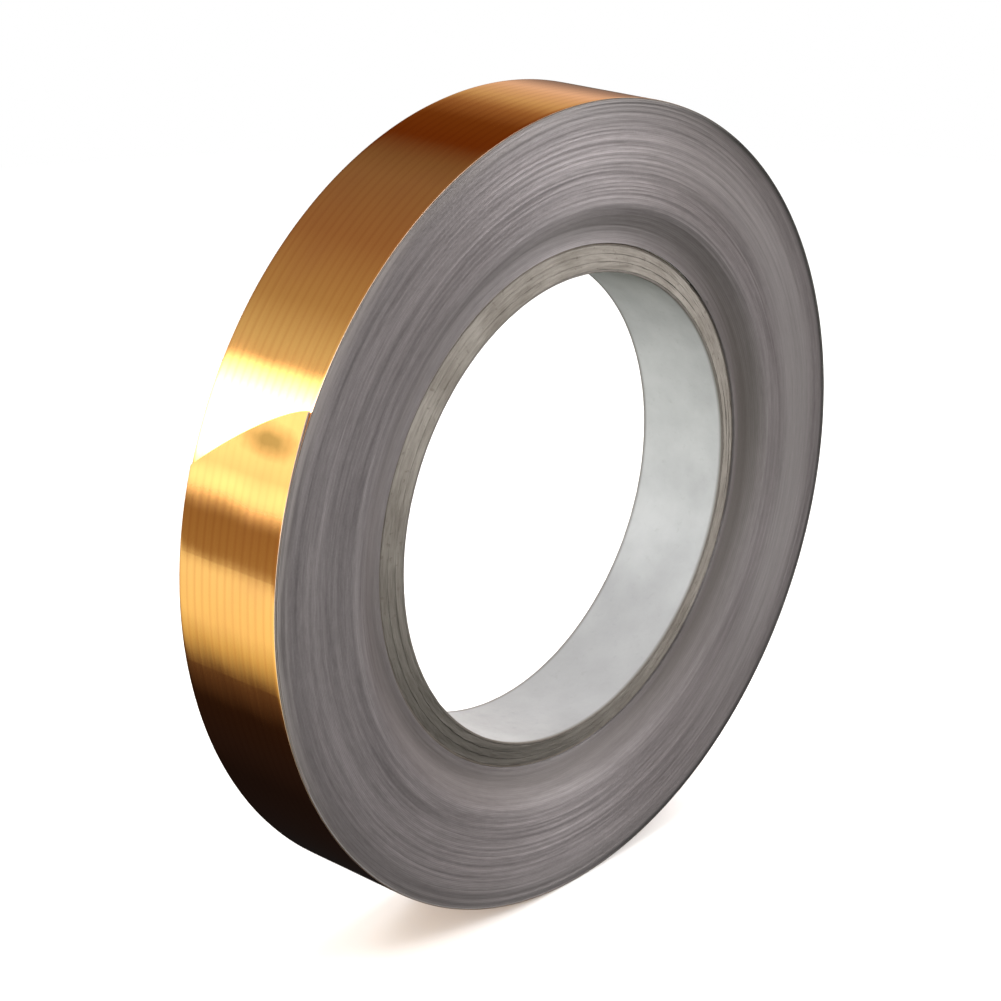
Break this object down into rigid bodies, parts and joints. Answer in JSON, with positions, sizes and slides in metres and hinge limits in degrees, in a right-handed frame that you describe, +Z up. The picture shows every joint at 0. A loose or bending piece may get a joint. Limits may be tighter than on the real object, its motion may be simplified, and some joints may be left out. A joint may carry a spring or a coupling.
{
  "type": "copper foil tape roll",
  "caption": "Roll of narrow self-adhesive copper foil tape on a paper liner, wound on a plied paper core, with a slant-cut free end that lifts and peels.",
  "frame": {"origin": "centre of the roll, on its axis, midway between its two faces", "axes": "+Y along the roll's axis from the front face to the rear face, +Z up as the roll stands on its rim, +X to the right seen from the front"},
  "size_m": [0.0653, 0.01, 0.0653],
  "materials": {
    "copper_foil": "polished",
    "clear_adhesive": "gloss",
    "liner_paper": "satin",
    "wound_edges": "matte",
    "core_white_paper": "matte",
    "core_chipboard": "matte",
    "core_brown_paper": "matte",
    "tack_tape": "matte"
  },
  "bodies": {
    "roll": {"core_bore_liner": "core_white_paper", "core_inner_ply": "core_chipboard", "core_middle_ply": "core_chipboard", "core_outer_ply": "core_chipboard", "core_outer_wrap": "core_brown_paper", "core_tack_strip": "tack_tape", "wound_tape": "wound_edges", "outer_turn_foil": "copper_foil", "outer_turn_adhesive": "clear_adhesive", "outer_turn_liner": "liner_paper"},
    "tail_base": {"tail_base_foil": "copper_foil", "tail_base_adhesive": "clear_adhesive", "tail_base_liner": "liner_paper"},
    "tail_end": {"tail_end_foil": "copper_foil", "tail_end_adhesive": "clear_adhesive", "tail_end_liner": "liner_paper"},
    "foil_tip": {"foil_tip_foil": "copper_foil", "foil_tip_adhesive": "clear_adhesive"}
  },
  "joints": [
    {"name": "tail_lift", "type": "hinge", "parent": "roll", "child": "tail_base", "pos_m": [-0.03019, 0, -0.01251], "axis": [0, -1, 0], "range_deg": [0, 40]},
    {"name": "tail_curl", "type": "hinge", "parent": "tail_base", "child": "tail_end", "pos_m": [-0.03241, 0, -0.00427], "axis": [0, -1, 0], "range_deg": [0, 40]},
    {"name": "foil_peel", "type": "hinge", "parent": "tail_end", "child": "foil_tip", "pos_m": [-0.03241, 0, 0.00427], "axis": [0, -1, 0], "range_deg": [0, 90]}
  ]
}
